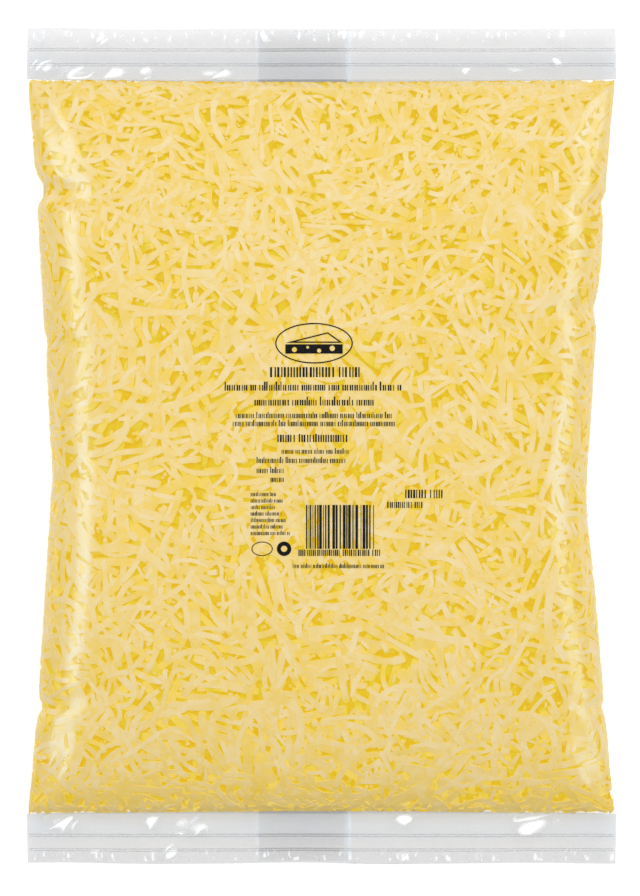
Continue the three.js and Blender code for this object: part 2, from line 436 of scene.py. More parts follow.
core_level = -np.minimum(CORE_DEPTH, CORE_SHARE * room)
heap_level = core_level.copy()
holds_cheese = room > LEAST_ROOM
first_row = np.argmax(holds_cheese, axis=0).astype(float)
last_row = ROWS - 1 - np.argmax(holds_cheese[::-1], axis=0).astype(float)
cell_area = across_step * along_step * holds_cheese
# The length of a step along near the seals, which keeps the shreds off them
ROWS_SKIPPED, ROWS_AT_END = 3, 5
near_ends = np.r_[ROWS_SKIPPED : ROWS_SKIPPED + ROWS_AT_END, -ROWS_SKIPPED - ROWS_AT_END : -ROWS_SKIPPED]
end_step = along_step[near_ends].mean(axis=0)
print("film round the cheese, mm2:", round(cell_area.sum()))


# %% How a shred's path is drawn on the chart
def cells_of(column, row):
    """Row and column numbers of the cells that hold these places."""
    i = np.clip(np.rint(row), 0, ROWS - 1).astype(int)
    return i, np.rint(column).astype(int) % COLUMNS


# Bundles of shreds lie the same way, as they fell: the heading follows a sum of slow waves
FLOW_WAVES = [(rng.integers(1, 6), rng.uniform(-3.5, 3.5), rng.uniform(0, 1)) for _ in range(8)]
FLOW_SWING, STRAY = 0.5, 0.95  # radians
CROWD_WAVES = [(rng.integers(-9, 10), rng.uniform(-9, 9), rng.uniform(0, 1)) for _ in range(14)]
CROWDING = 0.1  # how much more shreds lie in some places than in others
SWAY, SWAY_LENGTH = 0.9, 7  # sway along a shred, as a share of its curl, and its length in mm
HUGGING = 0.3  # share of the shreds that turn along the seal when they come to it
LEAST_NEED = 0.02  # of a place that is full already, in mm of depth
LEAST_CLEAR = 0.08  # share of a half path that is always drawn
LEAST_WHOLE = 0.5  # shreds of which less stays clear of the seals are left out


def sum_of_waves(waves, column, row):
    turns = [a * column / COLUMNS + b * row / ROWS + start for a, b, start in waves]
    return np.sin(2 * np.pi * np.array(turns)).sum(axis=0)


every_row, every_column = np.mgrid[:ROWS, :COLUMNS]
crowd = np.exp(CROWDING * sum_of_waves(CROWD_WAVES, every_column, every_row))


def draw_half(start, heading, step, bends, widths, hugs, direction):
    """Half of each path, from its start, and the share of it that stays clear of the seals."""
    (column, row), angle, (bend, sway, phase) = start.copy(), heading.copy(), bends
    points, clear = [], np.ones(len(row))
    for k in range(FINE // 2 + 1):
        points.append((column.copy(), row.copy(), angle.copy()))
        i, j = cells_of(column, row)
        column = column + direction * np.cos(angle) * step / across_step[i, j]
        row = row + direction * np.sin(angle) * step / along_step[i, j]
        from_end = np.abs(np.cos(angle)) * widths / 2 / end_step[j]
        beyond = (row < first_row[j] + from_end) | (row > last_row[j] - from_end)
        clear = np.where(beyond & ~hugs, np.minimum(clear, (k + 1) / (FINE // 2)), clear)
        angle = np.where(beyond & hugs, np.where(np.cos(angle) > 0, 0, np.pi), angle)
        row = np.clip(row, first_row[j] + hugs * from_end, last_row[j] - hugs * from_end)
        swing = np.sin(direction * k * step / SWAY_LENGTH + phase)
        angle = angle + direction * step * (bend + sway * swing)
    return np.array(points), clear.clip(LEAST_CLEAR)


def draw_paths(count, lengths, widths, curl, seek):
    """Paths of shreds that start where the heap is low and curl as they go, and which to lay."""
    need = crowd * cell_area * (CEILING - heap_level).clip(LEAST_NEED) ** seek
    chance = need.ravel() / need.sum()
    cell = rng.choice(chance.size, count, p=chance)
    start = np.array([cell % COLUMNS, cell // COLUMNS]) + rng.uniform(-0.5, 0.5, (2, count))
    heading = FLOW_SWING * sum_of_waves(FLOW_WAVES, *start) + rng.normal(0, STRAY, count)
    bend, sway = rng.normal(0, curl, count), rng.normal(0, curl * SWAY, count)
    bends = bend, sway, rng.uniform(0, 2 * np.pi, count)
    step = lengths / (FINE - 1)
    hugs = rng.uniform(0, 1, count) < HUGGING
    # Half of each path is drawn backwards from its start, so that shreds lie about the low places
    halves, whole = [], np.zeros(count)
    for direction in (-1, 1):
        clear = draw_half(start, heading, step, bends, widths, hugs, direction)[1]
        halves.append(draw_half(start, heading, step * clear, bends, widths, hugs, direction)[0])
        whole += clear / 2
    path = np.concatenate([halves[0][:0:-1], halves[1]])  # place along, (column, row, angle), shred
    return np.moveaxis(path, 2, 0), np.flatnonzero(whole > LEAST_WHOLE)


def footprints(path, widths):
    """Cells under each shred, along the lines of LATERAL."""
    column, row, angle = path[:, :, 0], path[:, :, 1], path[:, :, 2]
    i, j = cells_of(column, row)
    offset = LATERAL[None, None, :] * widths[:, None, None]
    columns = column[..., None] - np.sin(angle)[..., None] * offset / across_step[i, j][..., None]
    rows = row[..., None] + np.cos(angle)[..., None] * offset / along_step[i, j][..., None]
    i, j = cells_of(columns, rows)
    return i * COLUMNS + j


# %% How a shred settles on the heap
BRIDGES = (20, 10, 5, 2)  # spans that a shred bridges, in places along it
STIFFNESS = 0.7  # 0 follows every dip below, 1 bridges them all
SHRED_ROUNDING = np.sqrt(1 - (2 * np.abs(LATERAL)) ** 6)  # fall of its upper face towards its edges
ROLL_SPAN = 9  # places over which its roll is evened out
MOST_ROLL = 0.4
ROLL_ROOM = 0.8  # below the film, from which the film starts to press a rolled shred flat


def bridged(support):
    level = support.copy()
    for span in BRIDGES:
        level[span:-span] = np.maximum(level[span:-span], (level[: -2 * span] + level[2 * span :]) / 2)
    return support + STIFFNESS * (level - support)


def lay(path, chosen, widths, thickness, ceilings):
    """Lays the chosen shreds, and returns those that fit, with the level and roll of their faces."""
    cells = footprints(path, widths)
    flat_heap = heap_level.reshape(-1)
    kept, uppers, rolls = [], [], []
    for shred in chosen:
        under = cells[shred]
        support = flat_heap[under]
        upper = bridged(support.max(axis=1)) + thickness[shred]
        squeezed = (upper - ceilings[shred]).clip(0)
        if squeezed.max() > MOST_SQUEEZE or squeezed.mean() > MEAN_SQUEEZE:
            continue
        upper = np.minimum(upper, ceilings[shred])
        slope = (support[:, -1] - support[:, 0]) / widths[shred]
        slope = np.convolve(slope, np.ones(ROLL_SPAN) / ROLL_SPAN, mode="same")
        roll = np.clip(slope, -MOST_ROLL, MOST_ROLL) * np.clip((CEILING - upper) / ROLL_ROOM, 0, 1)
        faces = upper[:, None] + roll[:, None] * LATERAL * widths[shred]
        faces -= (1 - SHRED_ROUNDING) * thickness[shred] / 2
        np.maximum.at(flat_heap, under, np.minimum(faces, CEILING))
        kept.append(shred)
        uppers.append(upper)
        rolls.append(roll)
    return np.array(kept, int), np.array(uppers).reshape(-1, FINE), np.array(rolls).reshape(-1, FINE)


# %% The kinds of shred, in millimetres
# width, thickness and length are from and to; curl is in radians for each millimetre
KINDS = {
    "long_shreds": {"width": (3.2, 4.7), "thickness": (1.1, 1.7), "length": (34, 60), "curl": 0.024},
    "broad_shreds": {"width": (4.5, 7.0), "thickness": (1.1, 1.8), "length": (18, 44), "curl": 0.02},
    "medium_shreds": {"width": (2.9, 4.4), "thickness": (1.0, 1.6), "length": (16, 36), "curl": 0.032},
    "fine_shreds": {"width": (2.1, 3.3), "thickness": (0.7, 1.2), "length": (12, 30), "curl": 0.045},
    "slivers": {"width": (1.6, 3.1), "thickness": (0.7, 1.3), "length": (6, 16), "curl": 0.05},
    "short_bits": {"width": (1.8, 4.2), "thickness": (0.9, 1.8), "length": (4, 12), "curl": 0.04},
    "crumbs": {"width": (1.1, 2.5), "thickness": (0.8, 1.8), "length": (1.2, 3.4), "curl": 0},
}
# Turns of laying: kind, and how many to try
TURNS = [("medium_shreds", 450), ("long_shreds", 500), ("broad_shreds", 250), ("fine_shreds", 100)] * 6
TURNS += [("fine_shreds", 450), ("slivers", 1300), ("short_bits", 1500), ("crumbs", 1800)] * 2
MOST = {"slivers": 3400, "short_bits": 3400, "crumbs": 5600}
SEEK = {"slivers": 1, "short_bits": 1, "crumbs": 1}  # the others seek the low places more, with 2
MOST_OF_A_KIND = 1640  # keeps each piece under 200,000 triangles
SHORTER = 1.3  # leans the lengths towards the shorter ones
laid = {kind: [] for kind in KINDS}


def sizes(count, least_and_most, lean=1.0):
    """Sizes drawn evenly between two sizes, or with more small ones where lean is over 1."""
    least, most = least_and_most
    return least + (most - least) * rng.uniform(0, 1, count) ** lean


for turn, (kind, tries) in enumerate(TURNS):
    form = KINDS[kind]
    ceilings = CEILING - CEILING_RISE * (1 - (turn + rng.uniform(0, 1, tries)) / len(TURNS))
    most = MOST.get(kind, MOST_OF_A_KIND)
    made = sum(len(group["width"]) for group in laid[kind])
    widths = sizes(tries, form["width"])
    thickness = sizes(tries, form["thickness"])
    lengths = sizes(tries, form["length"], SHORTER)
    paths, chosen = draw_paths(tries, lengths, widths, form["curl"], SEEK.get(kind, 2))
    kept, uppers, rolls = lay(paths, chosen, widths, thickness, ceilings)
    kept, uppers, rolls = kept[: most - made], uppers[: most - made], rolls[: most - made]
    group = {"path": paths[kept], "width": widths[kept], "thickness": thickness[kept]}
    laid[kind].append({**group, "upper": uppers, "roll": rolls})

for kind, groups in laid.items():
    laid[kind] = {key: np.concatenate([group[key] for group in groups]) for key in groups[0]}
    print(kind, len(laid[kind]["width"]))
AT_FILM = 0.35  # depth that counts as pressed against the film
pressed = (heap_level > CEILING - AT_FILM)[holds_cheese].mean()
print("share pressed against the film:", pressed.round(3))
print("mean level of the heap:", heap_level[holds_cheese].mean().round(2))


# %% Read the film between the cells of the chart
def between_cells(chart, column, row):
    """Values of a chart at places that fall between its cells."""
    row = np.clip(row, 0, ROWS - 1.001)
    i, j = np.floor(row).astype(int), np.floor(column).astype(int)
    down, right = row - i, column - j
    if chart.ndim == 3:
        down, right = down[..., None], right[..., None]
    j0, j1 = j % COLUMNS, (j + 1) % COLUMNS
    first = chart[i, j0] * (1 - right) + chart[i, j1] * right
    second = chart[i + 1, j0] * (1 - right) + chart[i + 1, j1] * right
    return first * (1 - down) + second * down


# %% [markdown]
# One shred is modelled: a six-sided bar, cut into nine lengths, flattened, and tapered
# towards both ends, as a grater leaves it. Every copy gets its own points, bent along its path, and is
# a little wider in some places than in others. Two numbers ride on its points for the finish: a tint,
# the same all over a shred, and the depth under the film.

# %% Model the shred that the others are copied from
SECTION_PLACES = np.array([0, 3, 9, 16, 23, 31, 38, 45, 51, 54])
SHORT_PLACES = np.array([0, 9, 27, 45, 54])
CRUMB_PLACES = np.array([0, 27, 54])
END_TAPER = ((0.8, 0.6), (0.97, 0.94))  # width and thickness of the first two sections in
CORNER_WIDTH, CORNER_HEIGHT = 0.41, 0.5  # half sizes of its flat faces


def model_shred(name, places):
    """A flattened six-sided bar, one unit long, wide and thick."""
    bpy.ops.mesh.primitive_cylinder_add(vertices=6, radius=0.5, depth=1, end_fill_type="NGON")
    shred = bpy.context.object
    shred.name = name
    bpy.ops.object.mode_set(mode="EDIT")
    bpy.ops.transform.rotate(value=math.pi / 2, orient_axis="Z", center_override=(0, 0, 0))
    bpy.ops.mesh.select_mode(type="EDGE")
    bpy.ops.mesh.select_all(action="DESELECT")
    bpy.ops.object.mode_set(mode="OBJECT")
    for edge in shred.data.edges:
        ends = [shred.data.vertices[v].co.z for v in edge.vertices]
        edge.select = abs(ends[0] - ends[1]) > 0.5
    bpy.ops.object.mode_set(mode="EDIT")
    bpy.ops.mesh.subdivide(number_cuts=len(places) - 2)
    bpy.ops.object.mode_set(mode="OBJECT")
    points = points_of(shred) * MM
    section_of = np.rint((points[:, 2] + 0.5) * (len(places) - 1)).astype(int)
    around = np.arctan2(points[:, 1], points[:, 0])
    corner = np.abs(np.cos(around)) > 0.99
    across = np.where(corner, np.sign(np.cos(around)) * 0.5, np.sign(np.cos(around)) * CORNER_WIDTH)
    up = np.where(corner, 0, np.sign(np.sin(around)) * CORNER_HEIGHT)
    ends_in = np.minimum(section_of, len(places) - 1 - section_of)
    for inwards, (width, height) in enumerate(END_TAPER):
        across[ends_in == inwards] *= width
        up[ends_in == inwards] *= height
    faces = [tuple(face.vertices) for face in shred.data.polygons]
    bpy.data.objects.remove(shred)
    return {"section": section_of, "across": across, "up": up, "faces": faces}


long_shred = model_shred("long_shred", SECTION_PLACES), SECTION_PLACES
short_shred = model_shred("short_shred", SHORT_PLACES), SHORT_PLACES
crumb = model_shred("crumb", CRUMB_PLACES), CRUMB_PLACES
prototypes = {"slivers": short_shred, "short_bits": short_shred, "crumbs": crumb}
print("faces of each:", [len(shred["faces"]) for shred, _ in (long_shred, short_shred, crumb)])


# %% Bend copies of it along their paths
SOFT_EDGE = 35  # degrees: the long edges of a shred stay crisp, and its bends are smooth


def mesh_piece(name, points, faces):
    """A piece from arrays of points, in millimetres, and of faces."""
    mesh = bpy.data.meshes.new(name)
    sides = np.array([len(face) for face in faces])
    loops = np.fromiter((v for face in faces for v in face), int, sides.sum())
    mesh.vertices.add(len(points))
    mesh.vertices.foreach_set("co", (points * MM).astype(np.float32).ravel())
    mesh.loops.add(len(loops))
    mesh.loops.foreach_set("vertex_index", loops)
    mesh.polygons.add(len(sides))
    mesh.polygons.foreach_set("loop_start", np.concatenate([[0], np.cumsum(sides)[:-1]]))
    mesh.update(calc_edges=True)
    mesh.validate()
    piece = bpy.data.objects.new(name, mesh)
    bpy.context.scene.collection.objects.link(piece)
    select_only(piece)
    bpy.ops.object.shade_smooth_by_angle(angle=math.radians(SOFT_EDGE))
    return piece


def add_attribute(piece, name, values):
    attribute = piece.data.attributes.new(name, "FLOAT", "POINT")
    attribute.data.foreach_set("value", values.astype(np.float32).ravel())


def copies_of(prototype, count):
    """The faces of count copies, one after another."""
    points, faces = len(prototype["section"]), prototype["faces"]
    return [tuple(v + copy * points for v in face) for copy in range(count) for face in faces]


WIDTH_WANDER, THICKNESS_WANDER = 0.09, 0.07  # how unevenly a shred is cut, along it
THINNEST, THICKEST = 0.8, 1.1
END_PRESS = 0.3  # how far the cheese is pressed in between the bands
CORNER_GAP = 1.0  # between the cheese and the sides of the bands
MOST_OF_ROOM = 0.75  # that a shred takes up
SIDE_DEPTH = 3.2  # the side of a shred counts as deeper than it is, as less light comes to it


def pressed_at_ends(points):
    """Points that would reach over the end of the filling are pressed back to it."""
    bow = FILL_BOW * (1 - (points[..., 0] / high[0]) ** 2) - END_PRESS
    points[..., 1] = np.clip(points[..., 1], FILL_BOTTOM + bow, FILL_TOP - bow)
    points[..., 0] = np.clip(points[..., 0], low[0] + CORNER_GAP, high[0] - CORNER_GAP)
    return points


def bend_shreds(name, shreds, prototype, places):
    """All shreds of a kind, as one piece."""
    path, width, thickness = (shreds[key] for key in ("path", "width", "thickness"))
    count = len(width)
    column, row = path[:, places, 0], path[:, places, 1]
    # Where the bag closes towards a seal, shreds are pressed thin
    thickness = np.minimum(thickness[:, None], between_cells(room, column, row) * MOST_OF_ROOM)
    film = between_cells(film_place, column, row)
    out = between_cells(film_normal, column, row)
    out /= np.linalg.norm(out, axis=2, keepdims=True)
    forwards = np.gradient(film, axis=1)
    forwards -= (forwards * out).sum(axis=2, keepdims=True) * out
    forwards /= np.linalg.norm(forwards, axis=2, keepdims=True).clip(1e-9)
    sideways = np.cross(out, forwards)
    roll = shreds["roll"][:, places, None]
    upper = shreds["upper"][:, places, None]
    middle = film + out * (upper - thickness[..., None] / 2)
    tilted_side = sideways + out * roll
    tilted_up = out - sideways * roll
    wider = 1 + rng.normal(0, WIDTH_WANDER, (count, len(places)))
    thicker = 1 + rng.normal(0, THICKNESS_WANDER, (count, len(places)))
    s = prototype["section"]
    across = prototype["across"] * (width[:, None] * wider)[:, s]
    up = prototype["up"] * (thickness * thicker.clip(THINNEST, THICKEST))[:, s]
    points = middle[:, s] + tilted_side[:, s] * across[..., None] + tilted_up[:, s] * up[..., None]
    points = pressed_at_ends(points.reshape(-1, 3))
    piece = mesh_piece(name, points, copies_of(prototype, count))
    depth = (thickness[:, s] / 2 - up) * SIDE_DEPTH - upper[:, s, 0]
    add_attribute(piece, "depth", depth.clip(0, CORE_DEPTH))
    add_attribute(piece, "tint", np.repeat(rng.uniform(0, 1, count), len(s)))
    return piece


shred_pieces = {}
for kind, shreds in laid.items():
    shred_pieces[kind] = bend_shreds(kind, shreds, *prototypes.get(kind, long_shred))
    print(kind, "faces:", len(shred_pieces[kind].data.polygons))

# %% [markdown]
# ## Finish of the cheese
# This cheese is a pale, waxy yellow and lets light in a millimetre or two. A shred that lies against
# the film is pale and smooth. Light that comes out of a gap between shreds has bounced off cheese or
# come through it several times, and turns warmer and then golden. That is painted into the colour,
# which follows the depth under the film: painted shade, warmer and then golden in the gaps.
# Subsurface scattering would trace that light, but slowly and noisily among thousands of crossing
# shreds. Instead a share of each place's colour is given off as a painted glow of its own: little of
# it at the film, and most of it deep down, where it keeps the gaps from going black or olive. Shreds
# differ a little, so a tint on each moves its colour, and all are painted warmer and darker towards
# the bottom seal, as painted shade of the end that lies away from the key light.

# %% The finish of the shreds
PALE = (0.93, 0.755, 0.42, 1)
# WARM is the warm end of a shred's tint and of painted shade; the golds are painted shade, cheese down in the
# gaps
WARM = (0.90, 0.645, 0.13, 1)
SHADED_GOLD = (0.74, 0.57, 0.02, 1)
DEEP_SHADED_GOLD = (0.76, 0.47, 0.001, 1)
WARM_FROM, WARM_TO = 0.15, 0.8  # depths under the film over which cheese is painted warmer, as painted shade
GOLD_FROM, GOLD_TO = 0.5, 1.8  # and golden
DEEP_FROM, DEEP_TO = 1.3, 2.8
GLOW_FROM, GLOW_TO = 0.35, 1.0  # and over which more of its colour is a painted glow, for light that came through cheese
LEAST_GLOW, MOST_GLOW = 0.08, 0.75  # share of that painted glow
GLOW_STRENGTH = 1.12  # its strength
DARK = (0, 0, 0, 1)
# Shares of warmth from slow patches and a shred's tint, of painted shade from depth and bottom seal
PATCHES, TINT, DEPTH_SHADE, SEAL_SHADE = 0.36, 0.45, 0.85, 0.5
SEAL_REACH = 26  # millimetres


def waxy_glowing(cheese, colour, glow_share):
    """Its last argument is the share of painted glow: colour given off as light of its own, for light
    that has come through the cheese and not straight from the lamps.
    """
    grain = cheese.noise(cheese.place(), scale=700, detail=3, roughness=0.6)
    pores = cheese.noise(cheese.place(), scale=2600)
    surface = cheese.add(
        "BsdfPrincipled",
        inputs={
            # a share of the colour moves from the base to a painted glow
            "Base Color": cheese.mixed(glow_share, colour, DARK),
            "Roughness": grain * 0.2 + 0.4,
            "Specular IOR Level": 0.15,
            "Emission Color": cheese.mixed(glow_share, DARK, colour),
            "Emission Strength": GLOW_STRENGTH,
            "Normal": cheese.bump(grain * 0.7 + pores * 0.3, strength=0.25, distance=0.0003),
        },
    )
    return cheese.finished(surface)


grated = Finish("grated_cheese")
depth = grated.value_of("depth")
# painted glow: its share grows with the depth under the film
glow_share = depth.step(GLOW_FROM, GLOW_TO) * (MOST_GLOW - LEAST_GLOW) + LEAST_GLOW
slow = grated.noise(grated.place(), scale=90, detail=3, roughness=0.6)
patches = slow.step(0.35, 0.7) * PATCHES
# painted shade: warmer with the depth under the film
painted_depth_shade = depth.step(WARM_FROM, WARM_TO) * DEPTH_SHADE
# painted shade: warmer and darker towards the bottom seal, away from the key light
along = grated.add("SeparateXYZ", {}, {"Vector": grated.place()}, output=1) * (1 / MM)
painted_seal_shade = (1 - along.step(FILL_BOTTOM, FILL_BOTTOM + SEAL_REACH)) * SEAL_SHADE
warmth_and_painted_shade = (patches + grated.value_of("tint") * TINT + painted_seal_shade).math("ADD", painted_depth_shade, clamp=True)
# painted shade: golden in the gaps, and a deeper gold further down
shaded_golds = grated.mixed(depth.step(DEEP_FROM, DEEP_TO), SHADED_GOLD, DEEP_SHADED_GOLD)
shred_colour = grated.mixed(depth.step(GOLD_FROM, GOLD_TO), grated.mixed(warmth_and_painted_shade, PALE, WARM), shaded_golds)
shred_finish = waxy_glowing(grated, shred_colour, glow_share)
for piece in shred_pieces.values():
    piece.data.materials.append(shred_finish)
    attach(piece, "root")
    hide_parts(BAG)
print("pieces with this finish:", len(shred_pieces))

# %% [markdown]
# ## Wrapping a sheet round the bag
# The core and the film are both made by wrapping: a flat grid is added, each of its points is laid on
# the chart at a level under the film, its two long edges are joined, and its ends are closed.


# %% A helper that wraps a grid round the chart
MERGE = 0.002 * MM  # points closer than this become one


def wrap(name, grid_columns, grid_rows, level_chart):
    """grid_columns gives the chart column of each column of the grid, and grid_rows the chart rows."""
    across_count, along_count = len(grid_columns), len(grid_rows)
    cuts = {"x_subdivisions": across_count - 1, "y_subdivisions": along_count - 1}
    bpy.ops.mesh.primitive_grid_add(**cuts, size=1)
    piece = bpy.context.object
    piece.name = name
    flat = points_of(piece) * MM + 0.5
    column = grid_columns[np.rint(flat[:, 0] * (across_count - 1)).astype(int)]
    row = grid_rows[np.rint(flat[:, 1] * (along_count - 1)).astype(int)]
    level = between_cells(level_chart, column, row)[:, None]
    place = between_cells(film_place, column, row) + between_cells(film_normal, column, row) * level
    piece.data.vertices.foreach_set("co", (place * MM).ravel())
    piece.data.update()
    select_only(piece)
    bpy.ops.object.mode_set(mode="EDIT")
    bpy.ops.mesh.select_all(action="SELECT")
    bpy.ops.mesh.remove_doubles(threshold=MERGE)
    bpy.ops.mesh.select_all(action="DESELECT")
    bpy.ops.mesh.select_non_manifold()
    bpy.ops.mesh.edge_face_add()
    bpy.ops.mesh.select_all(action="SELECT")
    bpy.ops.mesh.normals_make_consistent(inside=False)
    bpy.ops.object.mode_set(mode="OBJECT")
    bpy.ops.object.shade_smooth()
    return piece


# %% [markdown]
# ## Core
# Between the shreds one looks down on more cheese. The core stands for all of it: a closed form a few
# millimetres under the film, bumpy like shreds that lie close together, and golden all over: painted
# shade, with the strongest painted glow.

# %% Wrap the core
CORE_STEP = 3.0  # cells of the chart to a face
CORE_INSIDE = 2  # rows that it stays inside the shreds at its ends
CORE_BUMPS = 0.12  # of its depth
LEAST_BUMP, MOST_BUMP = 0.8, 1.15

core_bumps = rng.normal(0, 1, (ROWS, COLUMNS))
for _ in range(3):
    core_bumps = (core_bumps + np.roll(core_bumps, 1, 0) + np.roll(core_bumps, 1, 1)) / 3
bumpy = (1 + CORE_BUMPS * core_bumps / core_bumps.std()).clip(LEAST_BUMP, MOST_BUMP)
core_columns = np.linspace(0, COLUMNS, round(COLUMNS / CORE_STEP) + 1)
core_ends = first_row.min() + CORE_INSIDE, last_row.max() - CORE_INSIDE
core_rows = np.linspace(*core_ends, round(ROWS / CORE_STEP))
cheese_core = wrap("cheese_core", core_columns, core_rows, core_level * bumpy)
below = Finish("cheese_below")
# the core's golds are painted shade, and it has the most painted glow
core_patches = below.noise(below.place(), scale=300, detail=3).step(0.35, 0.65)
cheese_core.data.materials.append(waxy_glowing(below, below.mixed(core_patches, DEEP_SHADED_GOLD, SHADED_GOLD), MOST_GLOW))
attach(cheese_core, "root")
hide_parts(BAG)
print("core faces:", len(cheese_core.data.polygons))

# %% [markdown]
# ## Film round the cheese
# The film is drawn tight over the heap: it lies on the highest shreds, and spans the gaps between
# them. Blurring its level again and again, while the heap holds it up, finds that form, as letting a
# real sheet settle would. A few rounds more round it off over the shreds, because film is too stiff
# to follow a sharp edge.

# %% Let the film settle on the heap
FILM_CLEARANCE = 0.12
DEEPEST_START = 0.25  # below the CAD film
EDGE_ROWS = 6  # from its ends, over which it may come down by a millimetre
SETTLING_ROUNDS = 300
SAG = 0.001  # that the outer air presses the film down by in each round
STIFFENING_ROUNDS = 6

held_up = np.where(holds_cheese, heap_level + FILM_CLEARANCE, 0).clip(None, 0)
rows_from_end = np.minimum(np.arange(ROWS), np.arange(ROWS)[::-1])[:, None]
held_up = np.maximum(held_up, -rows_from_end / EDGE_ROWS)
film_level = np.maximum(held_up, -DEEPEST_START)
for _ in range(SETTLING_ROUNDS):
    around = (np.roll(film_level, 1, 1) + np.roll(film_level, -1, 1)) / 2
    padded = np.vstack([film_level[:1], film_level, film_level[-1:]])
    along = (padded[:-2] + padded[2:]) / 2
    film_level = np.maximum(held_up, (around + along) / 2 - SAG)
for _ in range(STIFFENING_ROUNDS):
    film_level[1:-1] = (film_level[:-2] + film_level[2:]) / 4 + film_level[1:-1] / 2
    film_level = (np.roll(film_level, 1, 1) + np.roll(film_level, -1, 1)) / 4 + film_level / 2
film_level = film_level.clip(None, 0)
print("film level, mm:", film_level.min().round(2), "mean", film_level.mean().round(3))

# %% Wrap the film
UPPER_COLUMNS, UNDER_COLUMNS, FILM_ROWS = 212, 104, 250
half = COLUMNS / 2
upper_columns = np.linspace(0, half, UPPER_COLUMNS + 1)[:-1]
film_columns = np.concatenate([upper_columns, np.linspace(half, COLUMNS, UNDER_COLUMNS + 1)])
film_tube = wrap("film_tube", film_columns, np.linspace(0, ROWS - 1, FILM_ROWS), film_level)
print("film faces:", len(film_tube.data.polygons))


# %% [markdown]
# ## Finish of the film
# Clear film shows three things: what lies behind it, a little milky haze, and reflections that grow
# towards grazing angles. So the finish is a see-through surface with some haze mixed in, under a
# glossy layer that is mixed in by the angle. Crinkles far smaller than the mesh come from a bump.
# The tube and each band are closed pieces of their own, but the real film runs on from one to the
# next. The faces that only close a piece there get a finish that is perfectly clear, as they would
# draw a dark line otherwise.

# %% A clear film
MILK = (0.95, 0.96, 0.97, 1)
WHITE = (1, 1, 1, 1)
MIRROR, SLANTING, GRAZING = 0.028, 0.12, 0.15  # mirrored straight on, and gained towards the edge


def film_finish(name, haze_and_glints, crinkle, clearness, glint=0.0, gloss_roughness=0.16, shade=None):
    """The second argument is a number, or a function of the finish, for how milky it is, and on the
    bands it paints glints; glint is how much the milky part glows, which paints them white; crinkle is
    the strength of the fine bump; and shade says where painted shade darkens what lies behind the
    film, and with which colour."""
    film = Finish(name)
    haze_and_glints = haze_and_glints(film) if callable(haze_and_glints) else haze_and_glints
    facing = film.add("LayerWeight", {}, {"Blend": 0.5}, output="Facing")
    mirror = facing**5 * GRAZING + facing**2 * SLANTING + MIRROR
    creases = film.noise(film.place(), scale=160, detail=1, roughness=0.6)
    bump = film.bump(creases, strength=crinkle, distance=0.0008)
    clear = film.add("BsdfTransparent", inputs={"Color": (clearness, clearness, clearness, 1)})
    # painted shade: a darker see-through part, where shade says
    if shade:
        where, colour = shade
        clear = film.blend(where(film), clear, film.add("BsdfTransparent", inputs={"Color": colour}))
    # a milky part that glows paints the glints white
    if glint:
        milk_and_glint_look = {"Base Color": MILK, "Emission Color": WHITE, "Emission Strength": glint}
        milk_and_glint = film.add("BsdfPrincipled", inputs={**milk_and_glint_look, "Normal": bump})
    else:
        milk_and_glint = film.add("BsdfDiffuse", inputs={"Color": MILK, "Normal": bump})
    glossy_look = {"Color": WHITE, "Roughness": gloss_roughness, "Normal": bump}
    gloss = film.add("BsdfGlossy", inputs=glossy_look)
    return film.finished(film.blend(mirror, film.blend(haze_and_glints, clear, milk_and_glint), gloss))


# %% Leave the faces clear that only close a piece
SQUARE_ON = 0.8  # least share of a normal that points along the bag, on such a face
welded = Finish("welded_film")
welded_finish = welded.finished(welded.add("BsdfTransparent", inputs={"Color": WHITE}))


def weld(piece, place, direction, reach):
    """Clears the faces within reach of place along the bag that look in a direction, 1 or -1."""
    piece.data.materials.append(welded_finish)
    cleared = 0
    for face in piece.data.polygons:
        if face.normal.y * direction > SQUARE_ON and abs(face.center.y / MM - place) < reach:
            face.material_index = len(piece.data.materials) - 1
            cleared += 1
    print(piece.name, "cleared faces:", cleared)


clear_finish = film_finish("clear_film", haze_and_glints=0.004, crinkle=0.1, clearness=0.99, gloss_roughness=0.2)
film_tube.data.materials.append(clear_finish)
weld(film_tube, FILL_TOP, 1, 1)
weld(film_tube, FILL_BOTTOM, -1, 1)
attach(film_tube, "root")
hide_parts(BAG)

# %% [markdown]
# ## End bands
# Beyond the cheese the two layers of film lie flat on each other. The bands keep the waves of the CAD
# model: a copy of it is cut where the cheese ends, closed, and made fine enough to bend the light.
# The cheese ends in a shallow bow, so the straight cut is then drawn over it to the same bow.

# %% Cut the bands from copies of the bag
BAND_OVERLAP = 0.1  # how far a band reaches over the end of the cheese
NEAR_CUT = 0.01  # points this close to the cut belong to its edge
BAND_EDGE = 50  # degrees, over which an edge of a band stays crisp


def bow_cut(band, cut, towards_cheese):
    """Draws the cut edge of a band over the bowed end of the cheese."""
    for vertex in band.data.vertices:
        if abs(vertex.co.y / MM - cut) < NEAR_CUT:
            bow = FILL_BOW * (1 - (vertex.co.x / MM / high[0]) ** 2)
            vertex.co.y += towards_cheese * bow * MM


